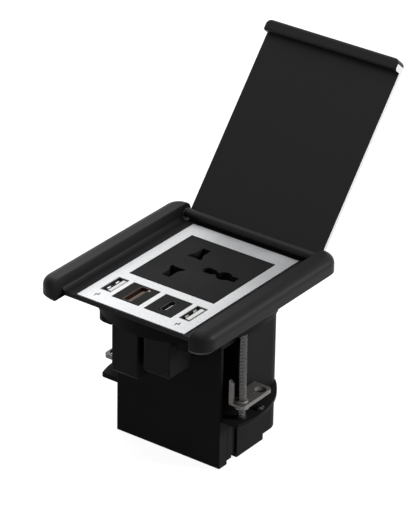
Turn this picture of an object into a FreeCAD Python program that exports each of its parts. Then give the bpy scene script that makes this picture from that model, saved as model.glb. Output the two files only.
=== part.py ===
import FreeCAD, Part
import math
import os
from FreeCAD import Vector

os.makedirs("parts", exist_ok=True)

# Sizes in millimetres. Origin: middle of the round table hole, on the table top. Z is up.
hole_dia = 80.0
collar_gap = 0.4
collar_wall = 1.0
collar_low = -7.0
pod_low = -12.2
pod_in = 17.3
pod_out = 26.0
pod_front = -31.9
pod_corner = 4.5
pod_wall = 0.8
pod_edge = 0.6

# Frame
rail_top = 9.7
rail_width = 9.0
rail_inner = 36.0
rail_front = -48.9
rail_rear = 50.2
rail_plan_r = 7.5
rail_top_r = 4.3
rail_low_edge = 1.8
rail_edge = 0.4
cove_r = 2.0
floor_low = 1.3
floor_top = 2.5
floor_front = -42.1
floor_rear = 49.3
frame_screw_x = 25.1
frame_screw_y = (-14.3, 20.6)
ledge_top = 3.2
seat_recess = 0.4
bar_drop = 0.4

# Faceplate
plate_top = 3.7
plate_half = 28.5
plate_front = -41.3
plate_rear = 41.66
slot_gap = 0.15
run_gap = 0.05
side_gap = 0.5

# Hinge and lid
hinge_y = 45.75
hinge_z = 5.65
barrel_r = 2.3
barrel_gap = 0.35
pin_r = 1.1
pin_grip = 8.5
pin_end = 3.2
lid_thick = 1.8
lid_reach = 94.65
lid_tail = 0.6
lip_deep = 5.5
lip_drop = 4.1
lid_open = 130.0

# Socket module
socket_size = 45.0
socket_y = 10.0
socket_inner = 41.0
socket_top = 3.9
face_low = -1.1
socket_low = -20.0
pin_pitch = 18.7
live_x = -8.8
pole_half = 2.1
pole_flare = 3.6
earth_x = 11.5
earth_half = 2.1
earth_reach = 18.0
shutter_thick = 1.4
shutter_gap = 0.3
shutter_run = 6.8
well_floor = 3.0
sheet = 0.8

# Data and charging ports
insert_x = 14.2
insert_y = 15.8
insert_at = 8.58
insert_mid = -25.9
coupler_front = -34.0
hdmi_low = -32.3
usb_c_low = -26.4
usb_at = 21.0
usb_mid = -24.8
usb_wide = 5.4
usb_long = 13.3
usb_case_wide = 4.9
usb_case_long = 12.2
usb_case_shift = 0.3
usb_wall = 0.3
board_thick = 1.0

# Lower body
body_half = 28.0
body_front = -14.0
body_rear = 32.4
body_low = -75.7
body_step = 1.8
foot_front = -0.9
foot_rear = 18.7
rear_step = 2.8
cover_thick = 1.8
cover_return = 4.0
seam = 0.2
wall = 1.6
shelf_top = -50.4
shelf_thick = 2.2
shelf_front = -13.0
shelf_rear = 29.0
shelf_shift = 1.2
body_corner = 8.5
channel_rear = 5.6
lower_half = 13.6
groove_wide = 4.0
groove_deep = 1.2
cable_x = 8.0
cable_y = 14.0
cable_r = 4.2

# Clamps, the left one turned half round from the right one
screw_in = 5.0
screw_y = -7.2
screw_r = 1.92
head_r = 3.2
head_high = 2.2
head_top = -0.5
slot_deep = 1.0
slot_wide = 0.9
bracket_top = -42.3
bracket_thick = 1.8
bracket_edge = 1.4
bracket_gap = 0.4
bracket_front = -11.5
bracket_rear = 10.5
tab_in = 2.7
tab_wide = 1.9
tab_high = 11.0
tab_slope = 1.6
hook_y = 6.1
hook_r = 2.5
nut_neck_r = 2.7
nut_neck_high = 1.0
nut_flange_r = 3.2
nut_flange_high = 0.8
crimp_out = 0.25
crimp_high = 0.5
lift_gap = 0.1
park_in = 3.4
park_y = 4.0
park_head_r = 1.9
park_head_high = 1.5

collar_r = hole_dia / 2 - collar_gap
inner_wall = collar_r - collar_wall
shelf_r = collar_r - 0.5 + shelf_shift
rail_outer = rail_inner + rail_width
foot_x = rail_inner - cove_r
lid_half = rail_inner - side_gap
lid_low = rail_top - lid_thick
hinge_front = hinge_y - barrel_r - barrel_gap
cover_back = body_front + cover_thick
shelf_low = shelf_top - shelf_thick
housing_low = body_low + body_step
floor_z = housing_low + body_step
half_in = socket_inner / 2
half_pitch = pin_pitch / 2
screw_x = collar_r - screw_in
park_x = collar_r - park_in
bracket_out = collar_r - bracket_edge
bracket_in = body_half + bracket_gap
tab_x0 = body_half + tab_in
tab_x1 = tab_x0 + tab_wide


def box(x0, x1, y0, y1, z0, z1):
    return Part.makeBox(x1 - x0, y1 - y0, z1 - z0, Vector(x0, y0, z0))


def rod(r, x, y, z0, z1):
    return Part.makeCylinder(r, z1 - z0, Vector(x, y, z0), Vector(0, 0, 1))


def rod_x(r, x0, x1, y, z):
    return Part.makeCylinder(r, x1 - x0, Vector(x0, y, z), Vector(1, 0, 0))


def rod_y(r, x, y0, y1, z):
    return Part.makeCylinder(r, y1 - y0, Vector(x, y0, z), Vector(0, 1, 0))


def cone(r0, r1, x, y, z0, z1):
    return Part.makeCone(r0, r1, z1 - z0, Vector(x, y, z0), Vector(0, 0, 1))


def slab(points, z0, z1):
    wire = Part.makePolygon([Vector(x, y, z0) for x, y in points + points[:1]])
    return Part.Face(wire).extrude(Vector(0, 0, z1 - z0))


def port_box(size_x, size_y, x, y, z0, z1, gap=0.0):
    hx = size_x / 2 + gap
    hy = size_y / 2 + gap
    return box(x - hx, x + hx, y - hy, y + hy, z0, z1)


def edges_at(shape, test):
    return [e for e in shape.Edges if all(test(v.Point) for v in e.Vertexes)]


def rounded(x0, x1, y0, y1, z0, z1, r):
    block = box(x0, x1, y0, y1, z0, z1)
    upright = [e for e in block.Edges if abs(e.Vertexes[0].Z - e.Vertexes[1].Z) > (z1 - z0) / 2]
    return block.makeFillet(r, upright)


def side_round(x0, x1, y0, y1, z0, z1, r_top, r_low):
    block = box(x0, x1, y0, y1, z0, z1)
    for r, level in ((r_top, z1), (r_low, z0)):
        along = [e for e in block.Edges if abs(e.Vertexes[0].X - e.Vertexes[-1].X) > (x1 - x0) / 2]
        rim = [e for e in along if abs(e.Vertexes[0].Z - level) < 0.01]
        block = block.makeFillet(r, rim)
    return block


def turned(shape):
    copy = shape.copy()
    copy.rotate(Vector(0, 0, 0), Vector(0, 0, 1), 180)
    return copy


def mirrored(shape):
    return shape.mirror(Vector(0, 0, 0), Vector(1, 0, 0))


def opened(shape):
    copy = shape.copy()
    copy.rotate(Vector(0, hinge_y, hinge_z), Vector(1, 0, 0), -lid_open)
    return copy


def save(name, shape):
    clean = shape.removeSplitter()
    clean.exportStep("parts/" + name + ".step")


# Frame: two rails with rounded noses, joined by a thin floor with a ledge along each rail
def rail():
    block = box(rail_inner, rail_outer, rail_front, rail_rear, 0, rail_top)
    upright = edges_at(block, lambda p: abs(p.x - rail_outer) < 0.01)
    upright = [e for e in upright if abs(e.Vertexes[0].Z - e.Vertexes[1].Z) > 1]
    block = block.makeFillet(rail_plan_r, upright)
    for level in (rail_top, 0):
        rim = edges_at(block, lambda p: abs(p.z - level) < 0.01)
        rim = [e for e in rim if not all(abs(v.X - rail_inner) < 0.01 for v in e.Vertexes)]
        block = block.makeFillet(rail_top_r, rim) if level else block.makeChamfer(rail_low_edge, rim)
    inner = edges_at(block, lambda p: abs(p.z - rail_top) < 0.01 and abs(p.x - rail_inner) < 0.01)
    return block.makeChamfer(rail_edge, inner)


def cove():
    toe = Vector(foot_x, floor_front, ledge_top)
    top = Vector(rail_inner, floor_front, ledge_top + cove_r)
    hollow = cove_r * (1 - math.sqrt(0.5))
    middle = Vector(rail_inner - hollow, floor_front, ledge_top + hollow)
    rest = [top, Vector(rail_inner + 0.5, floor_front, ledge_top + cove_r)]
    rest += [Vector(rail_inner + 0.5, floor_front, floor_low), Vector(foot_x, floor_front, floor_low), toe]
    edges = [Part.Arc(toe, middle, top).toShape()]
    edges += [Part.makeLine(a, b) for a, b in zip(rest, rest[1:])]
    return Part.Face(Part.Wire(edges)).extrude(Vector(0, hinge_front - floor_front, 0))


right_side = rail().fuse(cove())
ledge = box(plate_half + slot_gap, foot_x + 0.1, floor_front, plate_rear + slot_gap, floor_low, ledge_top)
right_side = right_side.fuse(ledge)
floor = box(-foot_x, foot_x, floor_front, floor_rear, floor_low, floor_top)
front_lip = box(-foot_x, foot_x, floor_front, plate_front - slot_gap, floor_low, plate_top - bar_drop)
lip_edge = edges_at(front_lip, lambda p: p.z > floor_top and p.y < floor_front + 0.01)
front_lip = front_lip.makeFillet(0.5, lip_edge)
rear_bar = box(-foot_x, foot_x, plate_rear + slot_gap, hinge_front, floor_low, plate_top - bar_drop)
frame = right_side.fuse([mirrored(right_side), floor, front_lip, rear_bar])
frame = frame.cut(port_box(socket_inner, socket_inner, 0, socket_y, 0, floor_top + 0.01, 0.3))
port_half = usb_at + usb_wide / 2 + 0.6
frame = frame.cut(port_box(2 * port_half, 2 * 8.4, 0, insert_mid, 0, floor_top + 0.01))
frame = frame.cut(rod(collar_r + seat_recess, 0, 0, -1, seat_recess))

frame_screw_at = [(x * frame_screw_x, y) for x in (1, -1) for y in frame_screw_y]
boss_low = -1.6
for x, y in frame_screw_at:
    frame = frame.fuse(port_box(6.6, 6.6, x, y, boss_low, floor_low))
for x, y in frame_screw_at:
    frame = frame.cut(rod(1.6, x, y, boss_low - 1, floor_top))
    frame = frame.cut(rod(3.0, x, y, floor_top - 1.5, floor_top + 0.1))
for x0, x1 in ((-rail_outer + pin_end, 0), (0, rail_outer - pin_end)):
    frame = frame.cut(rod_x(pin_r + run_gap, x0, x1, hinge_y, hinge_z))
save("bezel_frame", frame)

# Lid, drawn closed and then turned open
tip = hinge_y - lid_reach
plate = side_round(-lid_half, lid_half, tip + 0.5, hinge_y + lid_tail, lid_low, rail_top, 0.5, 0.2)
lip = side_round(-lid_half, lid_half, tip, tip + lip_deep, lid_low - lip_drop, rail_top, 2.4, 1.2)
barrel = rod_x(barrel_r, -lid_half, lid_half, hinge_y, hinge_z)
knuckle = box(-lid_half, lid_half, hinge_y - 1.6, hinge_y + lid_tail, hinge_z, lid_low + 0.3)
lid = plate.fuse([lip, barrel, knuckle])
corner = rounded(-lid_half, lid_half, tip, hinge_y + 40, lid_low - 10, rail_top + 1, 3.0)
lid = lid.common(corner)
for x0, x1 in ((-lid_half - 1, -lid_half + pin_grip + 0.5), (lid_half - pin_grip - 0.5, lid_half + 1)):
    lid = lid.cut(rod_x(pin_r + run_gap, x0, x1, hinge_y, hinge_z))
save("lid", opened(lid))

pin = rod_x(pin_r, lid_half - pin_grip, rail_outer - pin_end - 0.1, hinge_y, hinge_z)
save("hinge_pins", Part.makeCompound([pin, mirrored(pin)]))

# Faceplate with its openings
face = box(-plate_half, plate_half, plate_front, plate_rear, floor_top, plate_top)
face = face.cut(port_box(socket_size, socket_size, 0, socket_y, 0, 9, slot_gap))
for side in (-1, 1):
    face = face.cut(port_box(insert_x, insert_y, side * insert_at, insert_mid, 0, 9, slot_gap))
    face = face.cut(port_box(usb_wide, usb_long, side * usb_at, usb_mid, 0, 9, slot_gap))
save("faceplate", face)


# Universal socket: face with three shaped holes, turned a quarter round
def pole_hole(y_side, z0, z1):
    flare = pole_flare
    shape = [(-pole_half, 5.8), (pole_half, 5.8), (pole_half, 0.0), (flare, -2.5), (flare, -4.1), (1.6, -3.6),
             (-1.6, -3.6), (-flare, -4.1), (-flare, -2.5), (-pole_half, 0.0)]
    return slab([(live_x + x, socket_y + y_side * (half_pitch + y)) for x, y in shape], z0, z1)


def earth_hole(z0, z1):
    rounds = [rod(2.5, 3.0, socket_y, z0, z1), rod(2.3, 5.2, socket_y, z0, z1)]
    large = rod(3.6, earth_x, socket_y, z0, z1)
    neck = box(3.0, earth_x, socket_y - 1.1, socket_y + 1.1, z0, z1)
    flat = box(earth_x, earth_reach, socket_y - earth_half, socket_y + earth_half, z0, z1)
    return large.fuse([*rounds, neck, flat])


socket = port_box(socket_size, socket_size, 0, socket_y, floor_top, socket_top)
socket = socket.makeFillet(0.3, edges_at(socket, lambda p: p.z > socket_top - 0.01))
socket = socket.fuse(port_box(socket_inner, socket_inner, 0, socket_y, face_low, floor_top))
socket = socket.cut(pole_hole(1, -30, 9).fuse([pole_hole(-1, -30, 9), earth_hole(-30, 9)]))
save("socket_face", socket)

# Shutter that covers the two outer holes until the third pin pushes it aside
shutter_top = face_low - shutter_gap
shutter_low = shutter_top - shutter_thick
shutter_x0 = live_x - pole_flare - 0.5
shutter_x1 = live_x + pole_flare + shutter_run + 1.4
shutter_half = half_pitch + 6.4
shutter_y0, shutter_y1 = socket_y - shutter_half, socket_y + shutter_half
shutter = box(shutter_x0, shutter_x1, shutter_y0, shutter_y1, shutter_low, shutter_top)
window_x = live_x + shutter_run
for y_side in (1, -1):
    window_y = socket_y + y_side * half_pitch
    shutter = shutter.cut(port_box(2 * pole_flare, 11.8, window_x, window_y, -9, 9))
tail_y0, tail_y1 = socket_y - earth_half, socket_y + earth_half
tail = box(shutter_x1, shutter_x1 + 2.2, tail_y0, tail_y1, shutter_low, shutter_top)
save("socket_shutter", shutter.fuse(tail))

# Socket base with contact wells
base = port_box(socket_inner, socket_inner, 0, socket_y, socket_low, face_low)
pocket = box(shutter_x0 - shutter_run - shutter_gap, shutter_x1 + 2.5, shutter_y0 - shutter_gap,
             shutter_y1 + shutter_gap, shutter_low - shutter_gap, face_low)
base = base.cut(pocket)
contact_low = socket_low + well_floor
contact_top = shutter_low - shutter_gap - 3.2
pole_well = (11.0, 13.0)
earth_well = (19.0, 9.0)
well_mid = half_pitch + 0.25
well_at = {
    "neutral": (live_x, socket_y + well_mid, pole_well),
    "live": (live_x, socket_y - well_mid, pole_well),
    "earth": (earth_x - 2.0, socket_y, earth_well),
}
for x, y, size in well_at.values():
    base = base.cut(port_box(size[0], size[1], x, y, contact_low, face_low + 1))
    base = base.cut(port_box(5.4, 2.0, x, y, socket_low - 1, contact_low + 0.1))
save("socket_base", base)

for name, (x, y, size) in well_at.items():
    sx, sy = size[0] / 2 - 0.5, size[1] / 2 - 0.5
    foot = box(x - sx, x + sx, y - sy, y + sy, contact_low, contact_low + sheet)
    leaf_y0, leaf_y1 = y - sy + 1, y + sy - 1
    leaf_at = (x - sx, x + sx - sheet)
    leaves = [box(a, a + sheet, leaf_y0, leaf_y1, contact_low, contact_top) for a in leaf_at]
    leg = port_box(5.0, sheet, x, y, socket_low - 4.5, contact_low + sheet / 2)
    save("contact_" + name, foot.fuse([*leaves, leg]))


# Through couplers that carry the two data sockets
def coupler(x, low, mouth, depth):
    rear = insert_mid + insert_y / 2
    head = port_box(insert_x, insert_y, x, insert_mid, 0, plate_top)
    stem = rounded(x - insert_x / 2, x + insert_x / 2, coupler_front, rear, low, 0, 0.8)
    stem = stem.makeChamfer(0.6, edges_at(stem, lambda p: p.z < low + 0.01))
    size_x, size_y = mouth[0] + 0.2, mouth[1] + 0.2
    upper = port_box(size_x, size_y, x, insert_mid, plate_top - depth, plate_top + 1)
    under = port_box(size_x, size_y, x, insert_mid, low - 1, low + depth)
    return head.fuse(stem).cut(upper).cut(under)


def shell(x, mouth, z0, z1, thick, r):
    size_x, size_y = mouth[0] / 2, mouth[1] / 2
    y = insert_mid
    outer = rounded(x - size_x, x + size_x, y - size_y, y + size_y, z0, z1, r)
    size_x, size_y = size_x - thick, size_y - thick
    inner = rounded(x - size_x, x + size_x, y - size_y, y + size_y, z0 + 0.5, z1 + 1, r - thick)
    return outer.cut(inner)


def data_socket(name, x, low, mouth, depth, thick, r, blade):
    save(name + "_coupler", coupler(x, low, mouth, depth))
    upper = shell(x, mouth, plate_top - depth, plate_top, thick, r)
    under = shell(x, mouth, 0, depth, thick, r)
    under.rotate(Vector(x, insert_mid, 0), Vector(0, 1, 0), 180)
    under.translate(Vector(0, 0, low + depth))
    save(name + "_shells", Part.makeCompound([upper, under]))
    top = plate_top - 1.2
    blades = [port_box(blade[0], blade[1], x, insert_mid, plate_top - depth + 0.5, top),
              port_box(blade[0], blade[1], x, insert_mid, low + 1.2, low + depth - 0.5)]
    save(name + "_tongues", Part.makeCompound(blades))


data_socket("hdmi", -insert_at, hdmi_low, (4.6, 14.0), 11.0, 0.35, 0.8, (1.4, 11.4))
data_socket("usb_c", insert_at, usb_c_low, (3.3, 9.3), 8.0, 0.3, 1.6, (0.7, 6.7))

# Plan of the pods that hold the charging sockets, drawn smaller for the room inside
def pod(side, inset, z0, z1):
    x0, x1 = sorted([side * (pod_in + inset), side * (pod_out - inset)])
    block = box(x0, x1, pod_front + inset, body_front - seam - inset, z0, z1)
    outer = edges_at(block, lambda p: abs(abs(p.x) - pod_out + inset) < 0.01)
    corner = [e for e in outer if max(v.Y for v in e.Vertexes) < pod_front + inset + 0.01]
    return block.makeFillet(pod_corner - inset, corner)


# Charging sockets on their small circuit boards
board_low = pod_low + pod_wall
board_top = board_low + board_thick
boards = []
for side, word in ((-1, "left"), (1, "right")):
    x = side * usb_at
    case_x = x - side * usb_case_shift
    case_y = usb_mid + usb_case_shift
    flare = port_box(usb_wide, usb_long, x, usb_mid, floor_low, plate_top)
    case = port_box(usb_case_wide, usb_case_long, case_x, case_y, board_top, floor_low + 0.5).fuse(flare)
    case = case.cut(port_box(usb_wide, usb_long, x, usb_mid, floor_low + 0.8, plate_top + 1, -usb_wall))
    room = port_box(usb_case_wide, usb_case_long, case_x, case_y, board_top + 0.4, plate_top, -usb_wall)
    case = case.cut(room)
    save("usb_a_shell_" + word, case)
    save("usb_a_tongue_" + word, port_box(1.9, 10.9, case_x + 1.0, case_y, board_top + 0.4, plate_top - 0.3))
    boards.append(pod(side, pod_wall + 0.2, board_low, board_top))
save("port_boards", Part.makeCompound(boards))

# Plan of the body with its rounded rear corners, drawn smaller for the room inside
def body_block(inset, z0, z1):
    half = body_half - inset
    block = box(-half, half, cover_back - inset, body_rear - inset, z0, z1)
    corners = edges_at(block, lambda p: p.y > body_rear - inset - 0.01)
    corners = [e for e in corners if abs(e.Vertexes[0].Z - e.Vertexes[1].Z) > 1]
    return block.makeFillet(body_corner - inset, corners)


# Housing: round collar and tray above, narrow body with clamp channels below
ring = rod(collar_r, 0, 0, collar_low, 0)
brim = cone(collar_r - 0.05, collar_r - 0.5, 0, 0, -0.1, floor_low)
brim = brim.common(box(-rail_inner + 0.25, rail_inner - 0.25, -50, 50, -1, 9))
ring = ring.fuse(brim).cut(rod(inner_wall, 0, 0, collar_low + wall, floor_low + 1))

core = body_block(0, housing_low, collar_low + 0.1)
foot = box(-body_half, body_half, foot_front, foot_rear, body_low, housing_low)
step = box(-body_half - 1, body_half + 1, foot_rear, body_rear + 1, housing_low - 1, body_low + rear_step)
housing = core.fuse(foot).cut(step).fuse(ring)
for side in (-1, 1):
    shelf = rod(shelf_r, -side * shelf_shift, 0, shelf_low, shelf_top)
    rim = [e for e in shelf.Edges if abs(e.Vertexes[0].Z - shelf_low) < 0.01 and e.Closed]
    x0, x1 = sorted([side * (body_half - wall), side * 50])
    shelf = shelf.makeChamfer(0.5, rim).common(box(x0, x1, shelf_front, shelf_rear, body_low, 0))
    housing = housing.fuse(shelf)
housing = housing.cut(box(-body_half, body_half, body_front - 1, cover_back, body_low, collar_low))

channel_step = socket_low - 2.0
upper_channel = box(half_in + 2.0, 60, cover_back - 1, channel_rear, channel_step, collar_low)
lower_channel = box(lower_half + wall, 60, cover_back - 1, channel_rear, shelf_top, channel_step)
channel = upper_channel.fuse(lower_channel)
left_limit = box(-60, 0, -channel_rear, -cover_back + 0.4, -60, 0)
housing = housing.cut(channel).cut(turned(channel).common(left_limit))

for side in (-1, 1):
    outside = pod(side, 0, pod_low, collar_low + wall)
    rim = edges_at(outside, lambda p: p.z < pod_low + 0.01)
    inside = pod(side, pod_wall, pod_low + pod_wall, collar_low + wall + 0.1)
    housing = housing.fuse(outside.makeChamfer(pod_edge, rim)).cut(inside)

cavity_top = box(-half_in - 0.3, half_in + 0.3, cover_back - 1, socket_y + half_in + 0.3, socket_low - 0.3, 9)
cavity_top = cavity_top.common(rod(inner_wall, 0, 0, -90, 20))
cavity_mid = box(-lower_half, lower_half, cover_back - 1, body_rear - wall, shelf_low - 1, socket_low)
cavity_low = body_block(wall, floor_z, shelf_low)
housing = housing.cut(cavity_top).cut(cavity_mid).cut(cavity_low)
stem_half = insert_at + insert_x / 2 + 0.4
tray_open = box(-stem_half, stem_half, coupler_front - 0.4, cover_back + 1, collar_low - 1,
                collar_low + wall + 1)
housing = housing.cut(tray_open.common(rod(inner_wall, 0, 0, -20, 0)))

# The front cover's returns take the place of the side walls at the front of the lower body
return_top = shelf_low - seam
return_rear = cover_back + cover_return
for side in (-1, 1):
    x0, x1 = sorted([side * (body_half - wall - seam), side * (body_half + 1)])
    housing = housing.cut(box(x0, x1, cover_back - 1, return_rear + seam, body_low - 1, return_top + seam))

post_low = collar_low + 0.5
for x, y in frame_screw_at:
    housing = housing.fuse(port_box(5.6, 5.6, x, y, post_low, boss_low))
for x, y in frame_screw_at:
    housing = housing.cut(rod(1.25, x, y, collar_low + 0.8, boss_low + 1))
seat_post = rod(head_r + 1.2, screw_x, screw_y, collar_low, -0.05).common(rod(collar_r, 0, 0, -50, 0))
housing = housing.fuse([seat_post, turned(seat_post)])
head_seat = rod(head_r + 0.2, screw_x, screw_y, head_top - head_high - lift_gap, 5)
screw_hole = rod(screw_r + run_gap, screw_x, screw_y, shelf_low - 1, 5)
park_hole = rod(1.05, park_x, park_y, shelf_low - 1, shelf_top + 1)
groove_y0 = foot_front - groove_wide
groove = box(body_half - groove_deep, body_half + 1, groove_y0, foot_front, body_low - 1, shelf_low)
for cutter in (head_seat, screw_hole, park_hole, groove):
    housing = housing.cut(cutter).cut(turned(cutter))
housing = housing.cut(rod(cable_r, cable_x, cable_y, body_low - 1, floor_z + 1))
save("housing", housing)

# Front cover with a return along each side of the lower body
cover = box(-body_half, body_half, body_front, cover_back, body_low, collar_low - seam)
cover = cover.makeFillet(0.4, edges_at(cover, lambda p: p.y < body_front + 0.01))
for side in (-1, 1):
    x0, x1 = sorted([side * (body_half - wall), side * body_half])
    cover = cover.fuse(box(x0, x1, cover_back - 0.5, return_rear, body_low, return_top))
save("front_cover", cover)

# Charger electronics in the lower body
board_y = body_rear - wall - 12.8
board_z1 = socket_low - 8.0
board = box(-lower_half + 0.6, lower_half - 0.6, board_y, board_y + wall, floor_z + 2.4, board_z1)
save("charger_board", board)
coil_top = board_z1 - 3.0
coil = rounded(-8.5, 8.5, board_y - 13.0, board_y, coil_top - 15.0, coil_top, 1.2)
save("charger_transformer", coil)
can_r = 4.0
can_z = coil_top - 23.5
cans = [rod_y(can_r, x, board_y - 12.0, board_y, can_z) for x in (-can_r - 0.3, can_r + 0.3)]
save("charger_capacitors", Part.makeCompound(cans))

# Terminal block with its three screws, on the bottom of the housing
block_x = 4.0 - body_half
block_y = 2.0
block_deep = 12.0
pole_step = 7.0
block = box(block_x, block_x + 3 * pole_step + 1, block_y, block_y + block_deep, floor_z, floor_z + 11.0)
screws = []
for n in range(3):
    x = block_x + 4.0 + pole_step * n
    y = block_y + block_deep / 2
    block = block.cut(rod(1.9, x, y, floor_z + 3.0, floor_z + 12))
    way = port_box(3.0, block_deep + 2, x, y, floor_z + 3.0, floor_z + 6.0)
    block = block.cut(way)
    head = rod(1.6, x, y, floor_z + 6.3, floor_z + 10.0)
    screws.append(head.cut(port_box(4.0, 0.6, x, y, floor_z + 9.2, floor_z + 11)))
save("terminal_block", block)
save("terminal_screws", Part.makeCompound(screws))

# Bridge that grips the supply cable, with its two posts and screws
grip_y = cable_y + 9.3
grip_x = (cable_x - 7.0, cable_x + 7.0)
bar = box(grip_x[0] - 2.6, grip_x[1] + 2.6, grip_y - 2.7, grip_y + 2.7, floor_z + 5.0, floor_z + 8.0)
posts = []
grips = []
for x in grip_x:
    bar = bar.cut(rod(1.7, x, grip_y, floor_z, floor_z + 12))
    post = port_box(4.6, 4.6, x, grip_y, floor_z, floor_z + 5.0)
    posts.append(post.cut(rod(1.25, x, grip_y, floor_z + 1.5, floor_z + 6)))
    shank = rod(1.2, x, grip_y, floor_z + 2.0, floor_z + 8.0)
    grips.append(rod(2.6, x, grip_y, floor_z + 8.0, floor_z + 9.6).fuse(shank))
save("cable_clamp", bar)
save("cable_clamp_posts", Part.makeCompound(posts))
save("cable_clamp_screws", Part.makeCompound(grips))

# Screws that join frame and housing from above
joined = []
for x, y in frame_screw_at:
    head = rod(2.6, x, y, floor_top - 1.5, floor_top - 0.1)
    shank = rod(1.2, x, y, collar_low + 1.4, floor_top - 1.5)
    joined.append(head.fuse(shank).cut(port_box(6.0, 0.8, x, y, floor_top - 0.8, floor_top + 1)))
save("frame_screws", Part.makeCompound(joined))

# Clamp: a screw held in collar and shelf, a flanged nut on it, and the bracket that swings on the nut
screw = rod(screw_r, screw_x, screw_y, shelf_low, head_top)
screw = screw.fuse(rod(head_r, screw_x, screw_y, head_top - head_high, head_top))
slot = port_box(2 * screw_r + 1, slot_wide, screw_x, screw_y, shelf_low - 1, shelf_low + slot_deep)
screw = screw.cut(slot)

bracket_low = bracket_top - bracket_thick
tab_top = bracket_top + tab_high
nose = bracket_in + 2.6
arm = slab([(nose, bracket_front), (bracket_out - 1.4, bracket_front), (bracket_out, bracket_front + 1.5),
            (bracket_out, bracket_rear - 1.3), (bracket_out - 1.3, bracket_rear), (bracket_in, bracket_rear),
            (bracket_in, 1.0), (tab_x0, -3.0)], bracket_low, bracket_top)
tab_side = [(tab_x0, bracket_low), (tab_x1, bracket_low), (tab_x1, tab_top - tab_slope), (tab_x0, tab_top)]
tab_wire = Part.makePolygon([Vector(x, bracket_front, z) for x, z in tab_side + tab_side[:1]])
tab = Part.Face(tab_wire).extrude(Vector(0, bracket_thick, 0))
bracket = arm.fuse(tab).removeSplitter()
bend = edges_at(bracket, lambda p: p.y < bracket_front + 0.01 and p.z < bracket_low + 0.01)
bracket = bracket.makeFillet(bracket_thick - 0.2, bend)
bracket = bracket.cut(rod(nut_neck_r + run_gap, screw_x, screw_y, bracket_low - 1, bracket_top + 1))
bracket = bracket.cut(rod(hook_r, screw_x + 0.3, hook_y, bracket_low - 1, bracket_top + 1))

flange_top = bracket_low - lift_gap
crimp_low = bracket_top + lift_gap
nut = rod(nut_neck_r, screw_x, screw_y, flange_top, bracket_top + nut_neck_high)
nut = nut.makeChamfer(0.4, [e for e in nut.Edges if e.Closed and e.Vertexes[0].Z > bracket_top])
crimp = rod(nut_neck_r + crimp_out, screw_x, screw_y, crimp_low, crimp_low + crimp_high)
flange = rod(nut_flange_r, screw_x, screw_y, flange_top - nut_flange_high, flange_top)
nut = nut.fuse([crimp, flange]).cut(rod(screw_r + run_gap, screw_x, screw_y, shelf_low, 0))

peg = rod(1.0, park_x, park_y, shelf_low, shelf_top)
park_head_top = shelf_top + park_head_high
head = rod(park_head_r, park_x, park_y, shelf_top, park_head_top)
head = head.makeChamfer(0.6, [e for e in head.Edges if e.Closed and e.Vertexes[0].Z > shelf_top + 1])
head = head.cut(port_box(4.0, 0.6, park_x, park_y, park_head_top - 0.6, park_head_top + 1))
peg = peg.fuse(head)
for name, shape in (("screw", screw), ("bracket", bracket), ("nut", nut)):
    save("clamp_" + name + "_right", shape)
    save("clamp_" + name + "_left", turned(shape))
save("parking_screws", Part.makeCompound([peg, turned(peg)]))
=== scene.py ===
import bpy
import bmesh
import math
from mathutils import Matrix, Vector


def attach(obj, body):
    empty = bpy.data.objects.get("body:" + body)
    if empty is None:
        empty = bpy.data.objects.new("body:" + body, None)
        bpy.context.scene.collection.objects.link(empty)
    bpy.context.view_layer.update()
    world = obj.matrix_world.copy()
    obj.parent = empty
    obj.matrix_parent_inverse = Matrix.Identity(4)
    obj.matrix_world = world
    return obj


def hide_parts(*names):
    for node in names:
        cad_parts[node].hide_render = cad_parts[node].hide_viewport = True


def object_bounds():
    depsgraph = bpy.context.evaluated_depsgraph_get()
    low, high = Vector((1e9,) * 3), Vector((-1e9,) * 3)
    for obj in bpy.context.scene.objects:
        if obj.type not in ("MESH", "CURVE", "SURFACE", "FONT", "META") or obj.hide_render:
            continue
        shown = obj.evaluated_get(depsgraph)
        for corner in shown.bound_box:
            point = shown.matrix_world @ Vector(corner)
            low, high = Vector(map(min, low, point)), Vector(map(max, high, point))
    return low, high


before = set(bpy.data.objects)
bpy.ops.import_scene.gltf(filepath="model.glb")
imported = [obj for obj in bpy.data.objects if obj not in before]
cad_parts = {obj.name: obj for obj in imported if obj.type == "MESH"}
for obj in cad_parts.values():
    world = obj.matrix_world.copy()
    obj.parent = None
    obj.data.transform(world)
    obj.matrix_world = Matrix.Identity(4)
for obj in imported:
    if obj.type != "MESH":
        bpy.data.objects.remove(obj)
cadLow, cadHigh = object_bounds()
mm = 0.001
print("frame loaded")


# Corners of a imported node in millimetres
def boxOf(nodeName):
    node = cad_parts[nodeName]
    corners = [node.matrix_world @ Vector(corner) for corner in node.bound_box]
    low = Vector([min(corner[i] for corner in corners) for i in range(3)]) / mm
    high = Vector([max(corner[i] for corner in corners) for i in range(3)]) / mm
    return low, high


# Finishes: procedural, on each piece's own coordinates
def addNode(tree, kind, inputs=None, **settings):
    node = tree.nodes.new(kind)
    for key, value in settings.items():
        setattr(node, key, value)
    for key, value in (inputs or {}).items():
        node.inputs[key].default_value = value
    return node


def noiseOn(tree, place, scale, detail=3.0, roughness=0.55):
    noise = addNode(tree, "ShaderNodeTexNoise", {"Scale": scale, "Detail": detail, "Roughness": roughness})
    tree.links.new(place, noise.inputs["Vector"])
    return noise.outputs["Fac"]


def ranged(tree, source, low, high, fromLow=0.3, fromHigh=0.7):
    limits = {"From Min": fromLow, "From Max": fromHigh, "To Min": low, "To Max": high}
    spread = addNode(tree, "ShaderNodeMapRange", limits)
    tree.links.new(source, spread.inputs["Value"])
    return spread.outputs["Result"]


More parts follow.
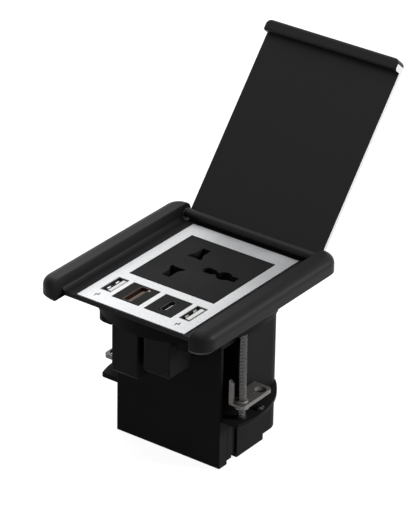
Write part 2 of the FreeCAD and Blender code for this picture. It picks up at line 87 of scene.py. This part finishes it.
def mixed(tree, share, first, second):
    blend = addNode(tree, "ShaderNodeMix", data_type="RGBA")
    for socket, value in (("A", first), ("B", second)):
        target = [i for i in blend.inputs if i.name == socket and i.type == "RGBA"][0]
        if isinstance(value, (tuple, list)):
            target.default_value = (*value, 1.0)
        else:
            tree.links.new(value, target)
    tree.links.new(share, blend.inputs["Factor"])
    return [o for o in blend.outputs if o.type == "RGBA"][0]


# 1 where the size of the coordinate is over the limit
def beyond(tree, place, axis, limit):
    split = addNode(tree, "ShaderNodeSeparateXYZ")
    tree.links.new(place, split.inputs["Vector"])
    size = addNode(tree, "ShaderNodeMath", operation="ABSOLUTE")
    tree.links.new(split.outputs[axis], size.inputs[0])
    past = addNode(tree, "ShaderNodeMath", operation="GREATER_THAN")
    tree.links.new(size.outputs[0], past.inputs[0])
    past.inputs[1].default_value = limit
    return past.outputs[0]


def makeFinish(name, look):
    finish = bpy.data.materials.new(name)
    finish.use_nodes = True
    tree = finish.node_tree
    shader = tree.nodes["Principled BSDF"]
    place = addNode(tree, "ShaderNodeTexCoord").outputs["Object"]
    stretched = addNode(tree, "ShaderNodeMapping", {"Scale": look.get("stretch", (1, 1, 1))})
    tree.links.new(place, stretched.inputs["Vector"])
    grain = noiseOn(tree, stretched.outputs["Vector"], look["grainScale"])
    cloud = noiseOn(tree, place, look.get("cloudScale", 60.0), 2.0)
    colour = mixed(tree, ranged(tree, grain, 0, 1), look["dark"], look["light"])
    rough = ranged(tree, cloud, look["rough"][0], look["rough"][1])
    if "speckle" in look:
        flakes = addNode(tree, "ShaderNodeTexVoronoi", {"Scale": look["speckleScale"]})
        tree.links.new(place, flakes.inputs["Vector"])
        tone = addNode(tree, "ShaderNodeSeparateColor")
        tree.links.new(flakes.outputs["Color"], tone.inputs["Color"])
        share = ranged(tree, tone.outputs["Red"], 0, look["speckleShare"], 0.2, 1.0)
        colour = mixed(tree, share, colour, look["speckle"])
    if "bareAxis" in look:
        bare = beyond(tree, place, look["bareAxis"], look["bareLimit"] * mm)
        colour = mixed(tree, bare, colour, look["bare"])
    tree.links.new(colour, shader.inputs["Base Color"])
    tree.links.new(rough, shader.inputs["Roughness"])
    shader.inputs["Metallic"].default_value = look.get("metal", 0.0)
    shader.inputs["Specular IOR Level"].default_value = look.get("gloss", 0.5)
    bump = addNode(tree, "ShaderNodeBump", {"Strength": look["bump"], "Distance": look.get("bumpDepth", 0.02) * mm})
    tree.links.new(grain, bump.inputs["Height"])
    if "softEdge" in look:
        soft = addNode(tree, "ShaderNodeBevel", {"Radius": look["softEdge"] * mm}, samples=6)
        tree.links.new(soft.outputs["Normal"], bump.inputs["Normal"])
    tree.links.new(bump.outputs["Normal"], shader.inputs["Normal"])
    return finish


finishLooks = {
    "frameCoat": {"dark": (0.011, 0.011, 0.012), "light": (0.017, 0.017, 0.018), "rough": (0.38, 0.46),
                  "grainScale": 2600, "bump": 0.25, "gloss": 0.08},
    "lidCoat": {"dark": (0.010, 0.010, 0.011), "light": (0.013, 0.013, 0.014), "rough": (0.38, 0.48),
                "grainScale": 2600, "bump": 0.2, "gloss": 0.13, "bareAxis": "X", "bareLimit": 35.45,
                "bare": (0.86, 0.86, 0.86)},
    "faceSilver": {"dark": (0.53, 0.54, 0.55), "light": (0.63, 0.64, 0.65), "rough": (0.34, 0.42), "grainScale": 3200,
                   "speckle": (0.80, 0.81, 0.82), "speckleScale": 4200, "speckleShare": 0.6, "metal": 0.8,
                   "bump": 0.25, "bumpDepth": 0.012},
    "insertPlastic": {"dark": (0.008, 0.008, 0.008), "light": (0.0115, 0.0115, 0.0115), "rough": (0.50, 0.60),
                      "grainScale": 3000, "bump": 0.3, "bumpDepth": 0.015, "gloss": 0.06, "softEdge": 0.15},
    "bodyPlastic": {"dark": (0.010, 0.010, 0.0103), "light": (0.014, 0.014, 0.0145), "rough": (0.48, 0.58),
                    "grainScale": 2400, "bump": 0.35, "bumpDepth": 0.03, "gloss": 0.03, "softEdge": 0.3},
    "shutterPlastic": {"dark": (0.004, 0.004, 0.004), "light": (0.008, 0.008, 0.008), "rough": (0.6, 0.7),
                       "grainScale": 2400, "bump": 0.3, "gloss": 0.2},
    "zincSteel": {"dark": (0.125, 0.118, 0.111), "light": (0.180, 0.171, 0.162), "rough": (0.44, 0.54),
                  "grainScale": 900, "stretch": (1, 0.25, 1), "metal": 0.5, "bump": 0.3, "bumpDepth": 0.01,
                  "softEdge": 0.15},
    "threadSteel": {"dark": (0.200, 0.195, 0.190), "light": (0.250, 0.243, 0.237), "rough": (0.22, 0.28),
                    "grainScale": 1500, "metal": 1.0, "bump": 0.1, "bumpDepth": 0.01},
    # Gold-plated shell: the plating's own tone, darkened to brown as painted shade inside the socket
    "goldShellPaintedShade": {"dark": (0.060, 0.036, 0.026), "light": (0.090, 0.054, 0.040), "rough": (0.36, 0.46),
                   "grainScale": 1800, "metal": 0.8, "bump": 0.15, "bumpDepth": 0.01},
    # Painted shade: dark colour for the thread's valley faces
    "paintedValleyShade": {"dark": (0.010, 0.0098, 0.0095), "light": (0.020, 0.0195, 0.019), "rough": (0.5, 0.6),
                     "grainScale": 1500, "metal": 0.5, "bump": 0.1, "bumpDepth": 0.01},
    "shellSteel": {"dark": (0.40, 0.40, 0.41), "light": (0.52, 0.52, 0.53), "rough": (0.22, 0.32), "grainScale": 1800,
                   "metal": 1.0, "bump": 0.15, "bumpDepth": 0.01},
    "darkShell": {"dark": (0.035, 0.034, 0.033), "light": (0.05, 0.049, 0.048), "rough": (0.34, 0.42),
                  "grainScale": 1800, "metal": 1.0, "bump": 0.15, "bumpDepth": 0.01},
    "portShell": {"dark": (0.12, 0.12, 0.12), "light": (0.18, 0.18, 0.18), "rough": (0.34, 0.42), "grainScale": 1800,
                  "metal": 1.0, "bump": 0.15, "bumpDepth": 0.01},
    "brownTongue": {"dark": (0.085, 0.045, 0.032), "light": (0.125, 0.070, 0.048), "rough": (0.4, 0.5),
                    "grainScale": 1800, "bump": 0.15, "bumpDepth": 0.01},
    "brownContact": {"dark": (0.16, 0.09, 0.06), "light": (0.24, 0.135, 0.09), "rough": (0.35, 0.45),
                     "grainScale": 1500, "metal": 0.6, "bump": 0.1, "bumpDepth": 0.01},
    "contactGold": {"dark": (0.45, 0.26, 0.13), "light": (0.60, 0.38, 0.20), "rough": (0.25, 0.35),
                    "grainScale": 1500, "metal": 1.0, "bump": 0.1, "bumpDepth": 0.01},
    "brassSheet": {"dark": (0.52, 0.38, 0.16), "light": (0.68, 0.52, 0.25), "rough": (0.3, 0.4), "grainScale": 900,
                   "stretch": (1, 1, 0.2), "metal": 1.0, "bump": 0.2, "bumpDepth": 0.01},
    "parkingBrass": {"dark": (0.04, 0.036, 0.030), "light": (0.065, 0.058, 0.049), "rough": (0.42, 0.52),
                     "grainScale": 1200, "metal": 1.0, "bump": 0.2, "bumpDepth": 0.01, "softEdge": 0.15},
    "whiteTongue": {"dark": (0.88, 0.88, 0.87), "light": (0.94, 0.94, 0.93), "rough": (0.4, 0.5), "grainScale": 2500,
                    "bump": 0.1, "bumpDepth": 0.01},
    "boardLacquer": {"dark": (0.012, 0.07, 0.03), "light": (0.02, 0.12, 0.05), "rough": (0.3, 0.4), "grainScale": 500,
                     "stretch": (1, 1, 6), "bump": 0.1},
    "coreTape": {"dark": (0.55, 0.42, 0.05), "light": (0.72, 0.58, 0.08), "rough": (0.35, 0.5), "grainScale": 300,
                 "stretch": (0.2, 0.2, 8), "bump": 0.4, "bumpDepth": 0.05},
    "sleeveBlue": {"dark": (0.02, 0.03, 0.10), "light": (0.03, 0.05, 0.16), "rough": (0.25, 0.35), "grainScale": 900,
                   "bump": 0.1},
    "markInk": {"dark": (0.03, 0.03, 0.035), "light": (0.05, 0.05, 0.055), "rough": (0.5, 0.6), "grainScale": 3000,
                "bump": 0.05, "bumpDepth": 0.005},
    # Painted glint: white for the dot at the HDMI shell's rim corner
    "glintWhite": {"dark": (0.62, 0.62, 0.60), "light": (0.75, 0.75, 0.73), "rough": (0.3, 0.4), "grainScale": 3000,
                  "bump": 0.05, "bumpDepth": 0.005},
}
finishes = {name: makeFinish(name, look) for name, look in finishLooks.items()}
print("finishes made:", len(finishes))

finishNodes = {
    "frameCoat": ["bezel_frame"],
    "lidCoat": ["lid"],
    "faceSilver": ["faceplate"],
    "insertPlastic": ["socket_face", "hdmi_coupler", "usb_c_coupler"],
    "bodyPlastic": ["housing", "front_cover", "socket_base", "terminal_block", "cable_clamp", "cable_clamp_posts"],
    "shutterPlastic": ["socket_shutter"],
    "brassSheet": ["contact_live", "contact_neutral", "contact_earth"],
    "brownTongue": ["hdmi_tongues"],
    "goldShellPaintedShade": ["hdmi_shells"],
    "darkShell": ["usb_c_shells"],
    "portShell": ["usb_a_shell_left", "usb_a_shell_right"],
    "whiteTongue": ["usb_a_tongue_left", "usb_a_tongue_right", "usb_c_tongues"],
    "boardLacquer": ["port_boards", "charger_board"],
    "coreTape": ["charger_transformer"],
    "sleeveBlue": ["charger_capacitors"],
    "parkingBrass": ["parking_screws"],
    "threadSteel": ["hinge_pins", "clamp_screw_left", "clamp_screw_right"],
    "zincSteel": ["terminal_screws", "cable_clamp_screws", "frame_screws", "clamp_bracket_left",
                  "clamp_bracket_right", "clamp_nut_left", "clamp_nut_right"],
}
for finishName, nodeNames in finishNodes.items():
    for nodeName in nodeNames:
        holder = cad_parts[nodeName]
        if not holder.material_slots:
            holder.data.materials.append(finishes[finishName])
        for slot in holder.material_slots:
            slot.material = finishes[finishName]
print("finishes given to the nodes")


def finishPiece(name, bm, body, finishName, sharpAngle=35):
    bmesh.ops.recalc_face_normals(bm, faces=bm.faces)
    mesh = bpy.data.meshes.new(name)
    bm.to_mesh(mesh)
    bm.free()
    mesh.polygons.foreach_set("use_smooth", [True] * len(mesh.polygons))
    mesh.set_sharp_from_angle(angle=math.radians(sharpAngle))
    mesh.materials.append(finishes[finishName])
    piece = bpy.data.objects.new(name, mesh)
    bpy.context.scene.collection.objects.link(piece)
    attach(piece, body)
    return piece


# A block between two corners in millimetres
def addBlock(bm, low, high, bevel=0.0):
    low, high = Vector(low) * mm, Vector(high) * mm
    made = bmesh.ops.create_cube(bm, size=1.0)
    bmesh.ops.scale(bm, vec=high - low, verts=made["verts"])
    bmesh.ops.translate(bm, vec=(low + high) / 2, verts=made["verts"])
    if bevel:
        edges = list({e for v in made["verts"] for e in v.link_edges})
        bmesh.ops.bevel(bm, geom=edges, offset=bevel * mm, segments=2, affect="EDGES", profile=0.5, material=-1)


# A flat outline in millimetres, raised between two heights
def addPrism(bm, outline, low, high):
    face = bm.faces.new([bm.verts.new((x * mm, y * mm, low * mm)) for x, y in outline])
    grown = bmesh.ops.extrude_face_region(bm, geom=[face])
    lifted = [v for v in grown["geom"] if isinstance(v, bmesh.types.BMVert)]
    bmesh.ops.translate(bm, vec=(0, 0, (high - low) * mm), verts=lifted)


# Clamp screws: helical thread with painted shade in its valleys, head above, slotted end below
clampScrew = {"outer": 1.91, "root": 1.48, "pitch": 0.7, "stepsPerTurn": 32, "headHigh": 2.2, "slotDeep": 1.0,
              "slotHalf": 0.45, "arcSteps": 16, "valley": 0.05, "flankUp": 0.30, "crestLow": 0.56, "crestHigh": 0.74,
              "headSegments": 48, "spareTurns": 2, "sharpAngle": 40}


def makeClampScrew(word):
    node = "clamp_screw_" + word
    low, high = boxOf(node)
    middle = (low + high) / 2
    pitch, outer, root = (clampScrew[key] for key in ("pitch", "outer", "root"))
    threadLow = low.z + clampScrew["slotDeep"]
    threadHigh = high.z - clampScrew["headHigh"]
    turns = math.ceil((threadHigh - threadLow) / pitch) + clampScrew["spareTurns"]
    # Radius and share of the pitch: valley, flank, crest, flank
    outline = [(root, 0.0), (root, clampScrew["flankUp"]), (outer, clampScrew["crestLow"]),
               (outer, clampScrew["crestHigh"]), (root, 1.0)]
    bm = bmesh.new()
    verts = [bm.verts.new((r * mm, 0, (threadLow + (share - 1) * pitch) * mm)) for r, share in outline]
    edges = [bm.edges.new(pair) for pair in zip(verts, verts[1:])]
    steps = turns * clampScrew["stepsPerTurn"]
    bmesh.ops.spin(bm, geom=verts + edges, cent=(0, 0, 0), axis=(0, 0, 1), angle=2 * math.pi * turns, steps=steps,
                   dvec=(0, 0, pitch * mm / clampScrew["stepsPerTurn"]), use_merge=False, use_duplicate=False)
    bmesh.ops.remove_doubles(bm, verts=bm.verts, dist=0.001 * mm)
    # Faces near the root radius get the painted valley shade
    for face in bm.faces:
        if face.calc_center_median().xy.length < (root + clampScrew["valley"]) * mm:
            face.material_index = 1
    for height, normal in ((threadLow, (0, 0, -1)), (threadHigh, (0, 0, 1))):
        geometry = bm.verts[:] + bm.edges[:] + bm.faces[:]
        cut = bmesh.ops.bisect_plane(bm, geom=geometry, plane_co=(0, 0, height * mm), plane_no=normal,
                                     clear_outer=True)
        rim = [e for e in cut["geom_cut"] if isinstance(e, bmesh.types.BMEdge)]
        bmesh.ops.edgeloop_fill(bm, edges=rim)
    headR = (high.x - low.x) / 2
    head = bmesh.ops.create_cone(bm, cap_ends=True, segments=clampScrew["headSegments"], radius1=headR * mm,
                                 radius2=headR * mm, depth=clampScrew["headHigh"] * mm)
    bmesh.ops.translate(bm, vec=(0, 0, (high.z - clampScrew["headHigh"] / 2) * mm), verts=head["verts"])
    start = math.asin(clampScrew["slotHalf"] / outer)
    for half in (0, math.pi):
        sweep = (math.pi - 2 * start) / clampScrew["arcSteps"]
        angles = [half + start + sweep * n for n in range(clampScrew["arcSteps"] + 1)]
        addPrism(bm, [(outer * math.cos(a), outer * math.sin(a)) for a in angles], low.z, threadLow)
    bmesh.ops.translate(bm, vec=(middle.x * mm, middle.y * mm, 0), verts=bm.verts)
    piece = finishPiece("thread_" + word, bm, "screw_" + word, "threadSteel", clampScrew["sharpAngle"])
    piece.data.materials.append(finishes["paintedValleyShade"])
    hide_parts(node)


for word in ("left", "right"):
    makeClampScrew(word)
print("clamp screws threaded")

# Contacts and spring fingers in the charging ports
chargePort = {"strips": (-3.5, -1.25, 1.25, 3.5), "stripHalf": 0.5, "springs": (-2.9, 2.9), "springHalf": 1.1,
              "springLine": ((0.0, 5.6), (0.3, 3.8), (0.9, 2.0), (1.1, 1.2), (0.7, 0.35)),
              "tongueToShell": 2.5, "wall": 0.3, "sheet": 0.15,
              "stripProud": 0.12, "stripSunk": 0.02, "stripFoot": 0.3, "stripTop": 0.8, "stripBevel": 0.03}
for word in ("left", "right"):
    tongueLow, tongueHigh = boxOf("usb_a_tongue_" + word)
    shellHigh = boxOf("usb_a_shell_" + word)[1]
    middleY = (tongueLow.y + tongueHigh.y) / 2
    bm = bmesh.new()
    for shift in chargePort["strips"]:
        y = middleY + shift
        low = (tongueLow.x - chargePort["stripProud"], y - chargePort["stripHalf"],
               tongueLow.z + chargePort["stripFoot"])
        high = (tongueLow.x + chargePort["stripSunk"], y + chargePort["stripHalf"],
                tongueHigh.z - chargePort["stripTop"])
        addBlock(bm, low, high, chargePort["stripBevel"])
    finishPiece("charge_contacts_" + word, bm, "base", "contactGold")
    bm = bmesh.new()
    wallX = tongueLow.x - chargePort["tongueToShell"] + chargePort["wall"]
    for shift in chargePort["springs"]:
        y = middleY + shift - chargePort["springHalf"]
        points = [(wallX + out, y, shellHigh.z - down) for out, down in chargePort["springLine"]]
        verts = [bm.verts.new(Vector(point) * mm) for point in points]
        edges = [bm.edges.new(pair) for pair in zip(verts, verts[1:])]
        grown = bmesh.ops.extrude_edge_only(bm, edges=edges)
        moved = [v for v in grown["geom"] if isinstance(v, bmesh.types.BMVert)]
        bmesh.ops.translate(bm, vec=(0, 2 * chargePort["springHalf"] * mm, 0), verts=moved)
    bmesh.ops.solidify(bm, geom=bm.faces[:], thickness=chargePort["sheet"] * mm)
    finishPiece("charge_springs_" + word, bm, "base", "shellSteel")
print("charging ports fitted")

# Contact rows on both sides of the data sockets' tongues, seen from above
contactEnds = {"below": 0.4, "sunk": 0.02}
dataSockets = {
    "hdmi": {"count": 10, "pitch": 1.0, "half": 0.34, "proud": 0.55, "reach": 8.5, "finish": "brownContact"},
    "usb_c": {"count": 12, "pitch": 0.5, "half": 0.12, "proud": 0.04, "reach": 5.5, "finish": "shellSteel"},
}
for word, socket in dataSockets.items():
    tongueLow, tongueHigh = boxOf(word + "_tongues")
    middleY = (tongueLow.y + tongueHigh.y) / 2
    bm = bmesh.new()
    for n in range(socket["count"]):
        y = middleY + (n - (socket["count"] - 1) / 2) * socket["pitch"]
        top = tongueHigh.z - contactEnds["below"]
        for x, out in ((tongueLow.x, -1), (tongueHigh.x, 1)):
            x0, x1 = sorted((x - out * contactEnds["sunk"], x + out * socket["proud"]))
            addBlock(bm, (x0, y - socket["half"], top - socket["reach"]), (x1, y + socket["half"], top))
    finishPiece(word + "_contacts", bm, "base", socket["finish"])
print("data sockets fitted")

# Small white dot at the HDMI shell's rim corner: a painted glint
glintDot = {"beside": 0.6, "inside": 1.6, "r": 0.45, "flat": 0.35, "around": 20, "rings": 10}
shellHigh = boxOf("hdmi_shells")[1]
bm = bmesh.new()
bmesh.ops.create_uvsphere(bm, u_segments=glintDot["around"], v_segments=glintDot["rings"],
                          radius=glintDot["r"] * mm)
bmesh.ops.scale(bm, vec=(1, 1, glintDot["flat"]), verts=bm.verts)
spot = Vector((shellHigh.x + glintDot["beside"], shellHigh.y - glintDot["inside"], shellHigh.z))
bmesh.ops.translate(bm, vec=spot * mm, verts=bm.verts)
# The white dot paints a glint and gives no light
finishPiece("painted_glint", bm, "base", "glintWhite")

# Charging marks printed in front of the charging ports
chargeMark = {"front": 4.6, "shift": {"left": -0.7, "right": 0.1}, "sunk": 0.01, "thick": 0.03,
              "bolt": ((0.3, 2.3), (0.25, 0.3), (-1.0, 0.35), (-0.25, -2.4), (-0.15, -0.4), (1.15, -0.45))}
plateTop = boxOf("faceplate")[1].z
for word, shift in chargeMark["shift"].items():
    shellLow, shellHigh = boxOf("usb_a_shell_" + word)
    markX = (shellLow.x + shellHigh.x) / 2 + shift
    markY = shellLow.y - chargeMark["front"]
    bm = bmesh.new()
    outline = [(markX + x, markY + y) for x, y in chargeMark["bolt"]]
    addPrism(bm, outline, plateTop - chargeMark["sunk"], plateTop + chargeMark["thick"])
    finishPiece("charge_mark_" + word, bm, "base", "markInk")
print("painted glint and marks made")


# The floor, in metres, a little below the lowest piece
floorLook = {"half": 6.0, "below": 0.0005, "colour": (0.3, 0.3, 0.3), "rough": 0.9, "gloss": 0.1, "glow": 0.94}


def makeFloor(look):
    bm = bmesh.new()
    bmesh.ops.create_grid(bm, x_segments=1, y_segments=1, size=look["half"])
    bmesh.ops.translate(bm, vec=(0, 0, cadLow.z - look["below"]), verts=bm.verts)
    mesh = bpy.data.meshes.new("floor")
    bm.to_mesh(mesh)
    bm.free()
    paint = bpy.data.materials.new("floor")
    paint.use_nodes = True
    shader = paint.node_tree.nodes["Principled BSDF"]
    shader.inputs["Base Color"].default_value = (*look["colour"], 1)
    shader.inputs["Roughness"].default_value = look["rough"]
    shader.inputs["Specular IOR Level"].default_value = look["gloss"]
    mesh.materials.append(paint)
    plane = bpy.data.objects.new("floor", mesh)
    bpy.context.scene.collection.objects.link(plane)
    return paint


# 1 for the rays that see the white ground: from the camera, or off and through a piece
def seesGround(tree):
    ray = addNode(tree, "ShaderNodeLightPath")
    share = ray.outputs["Is Camera Ray"]
    for kind in ("Is Glossy Ray", "Is Transmission Ray"):
        either = addNode(tree, "ShaderNodeMath", operation="MAXIMUM")
        tree.links.new(share, either.inputs[0])
        tree.links.new(ray.outputs[kind], either.inputs[1])
        share = either.outputs[0]
    return share


# The floor glows to those rays, so it is white where no shadow lies
floorPaint = makeFloor(floorLook)
tree = floorPaint.node_tree
out = tree.nodes["Material Output"]
shader = tree.nodes["Principled BSDF"]
glow = addNode(tree, "ShaderNodeEmission", {"Color": (1, 1, 1, 1), "Strength": floorLook["glow"]})
both = addNode(tree, "ShaderNodeAddShader")
pick = addNode(tree, "ShaderNodeMixShader")
tree.links.new(shader.outputs[0], both.inputs[0])
tree.links.new(glow.outputs[0], both.inputs[1])
tree.links.new(seesGround(tree), pick.inputs[0])
tree.links.new(shader.outputs[0], pick.inputs[1])
tree.links.new(both.outputs[0], pick.inputs[2])
tree.links.new(pick.outputs[0], out.inputs["Surface"])

worldLook = {"ambient": 0.04, "seen": 1.0}
world = bpy.data.worlds.new("studio")
bpy.context.scene.world = world
world.use_nodes = True
tree = world.node_tree
back = tree.nodes["Background"]
back.inputs["Color"].default_value = (1, 1, 1, 1)
strength = addNode(tree, "ShaderNodeMapRange", {"From Min": 0, "From Max": 1, "To Min": worldLook["ambient"],
                                                "To Max": worldLook["seen"]})
tree.links.new(seesGround(tree), strength.inputs["Value"])
tree.links.new(strength.outputs["Result"], back.inputs["Strength"])

lamps = {
    "topSoft": {"at": (-0.2, 0.0, 0.9), "aim": (0, 0, 0), "size": 0.8, "power": 4.2},
    "backSoft": {"at": (-0.33, 0.205, 0.205), "aim": (0, 0, 0), "size": 0.22, "power": 0.22},
    "rightSoft": {"at": (0.85, 0.5, 0.42), "aim": (0, 0, -0.02), "size": 0.4, "power": 10.0},
    "frontSoft": {"at": (-0.5, -1.1, 0.7), "aim": (0, 0, 0), "size": 0.7, "power": 0.4},
}
for name, lampLook in lamps.items():
    light = bpy.data.lights.new(name, "AREA")
    light.energy = lampLook["power"]
    light.size = lampLook["size"]
    holder = bpy.data.objects.new(name, light)
    bpy.context.scene.collection.objects.link(holder)
    holder.location = lampLook["at"]
    aim = Vector(lampLook["aim"]) - Vector(lampLook["at"])
    holder.rotation_mode = "QUATERNION"
    holder.rotation_quaternion = aim.to_track_quat("-Z", "Y")

# The camera as solved from the photograph
shot = {"place": (776.5, -1054.7, 702.1), "yaw": 35.98, "pitch": 27.65, "roll": 1.03, "focalPixels": 3451.0,
        "longSide": 505, "sensor": 36, "near": 0.05, "far": 50}
yaw, pitch, roll = (math.radians(shot[key]) for key in ("yaw", "pitch", "roll"))
right = Vector((math.cos(yaw), math.sin(yaw), 0))
back = Vector((math.sin(yaw) * math.cos(pitch), -math.cos(yaw) * math.cos(pitch), math.sin(pitch)))
up = back.cross(right)
sideways = right * math.cos(roll) + up * math.sin(roll)
upright = up * math.cos(roll) - right * math.sin(roll)
camera = bpy.data.cameras.new("shot")
camera.sensor_width = shot["sensor"]
camera.lens = camera.sensor_width * shot["focalPixels"] / shot["longSide"]
camera.clip_start = shot["near"]
camera.clip_end = shot["far"]
holder = bpy.data.objects.new("shot", camera)
bpy.context.scene.collection.objects.link(holder)
turn = Matrix((sideways, upright, back)).transposed().to_4x4()
holder.matrix_world = Matrix.Translation(Vector(shot["place"]) * mm) @ turn
bpy.context.scene.camera = holder
bpy.context.scene.view_settings.view_transform = "Standard"

print("stage, light and camera set")
